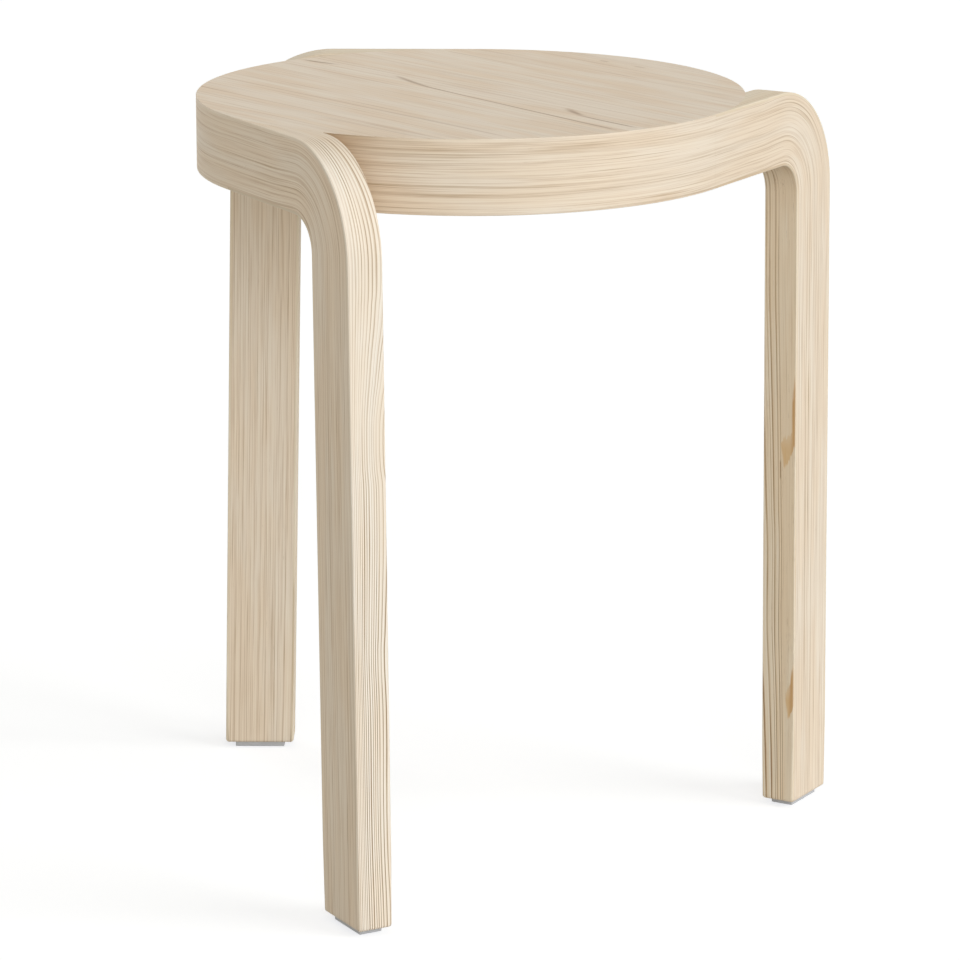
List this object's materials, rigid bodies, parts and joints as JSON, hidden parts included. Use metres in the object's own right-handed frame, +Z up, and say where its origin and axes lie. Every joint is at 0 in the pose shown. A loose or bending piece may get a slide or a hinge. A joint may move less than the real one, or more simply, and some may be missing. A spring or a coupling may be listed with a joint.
{
  "type": "stacking stool",
  "caption": "Backless wooden stacking stool: a thick round seat with bent laminated legs that leave its rim on a tangent and stand on plastic glides.",
  "frame": {"origin": "on the floor, at the middle of the stool's outer box", "axes": "+Z up; the rear leg's arm runs along -X from the rim, and the front and right legs' arms are turned 120 degrees from it and from each other"},
  "size_m": [0.377, 0.3762, 0.445],
  "materials": {
    "face_veneer": "clear matt lacquer",
    "laminated_core": "clear matt lacquer",
    "dowel_wood": "bare",
    "glide_plastic": "satin",
    "screw_steel": "zinc plated"
  },
  "bodies": {
    "root": {"seat_top_veneer": "face_veneer", "seat_core": "laminated_core", "seat_underside_veneer": "face_veneer", "front_leg_core": "laminated_core", "front_leg_outer_veneer": "face_veneer", "front_leg_inner_veneer": "face_veneer", "front_glide": "glide_plastic", "front_glide_screw": "screw_steel", "front_lower_dowel": "dowel_wood", "front_upper_dowel": "dowel_wood", "right_leg_core": "laminated_core", "right_leg_outer_veneer": "face_veneer", "right_leg_inner_veneer": "face_veneer", "right_glide": "glide_plastic", "right_glide_screw": "screw_steel", "right_lower_dowel": "dowel_wood", "right_upper_dowel": "dowel_wood", "rear_leg_core": "laminated_core", "rear_leg_outer_veneer": "face_veneer", "rear_leg_inner_veneer": "face_veneer", "rear_glide": "glide_plastic", "rear_glide_screw": "screw_steel", "rear_lower_dowel": "dowel_wood", "rear_upper_dowel": "dowel_wood"}
  },
  "joints": []
}
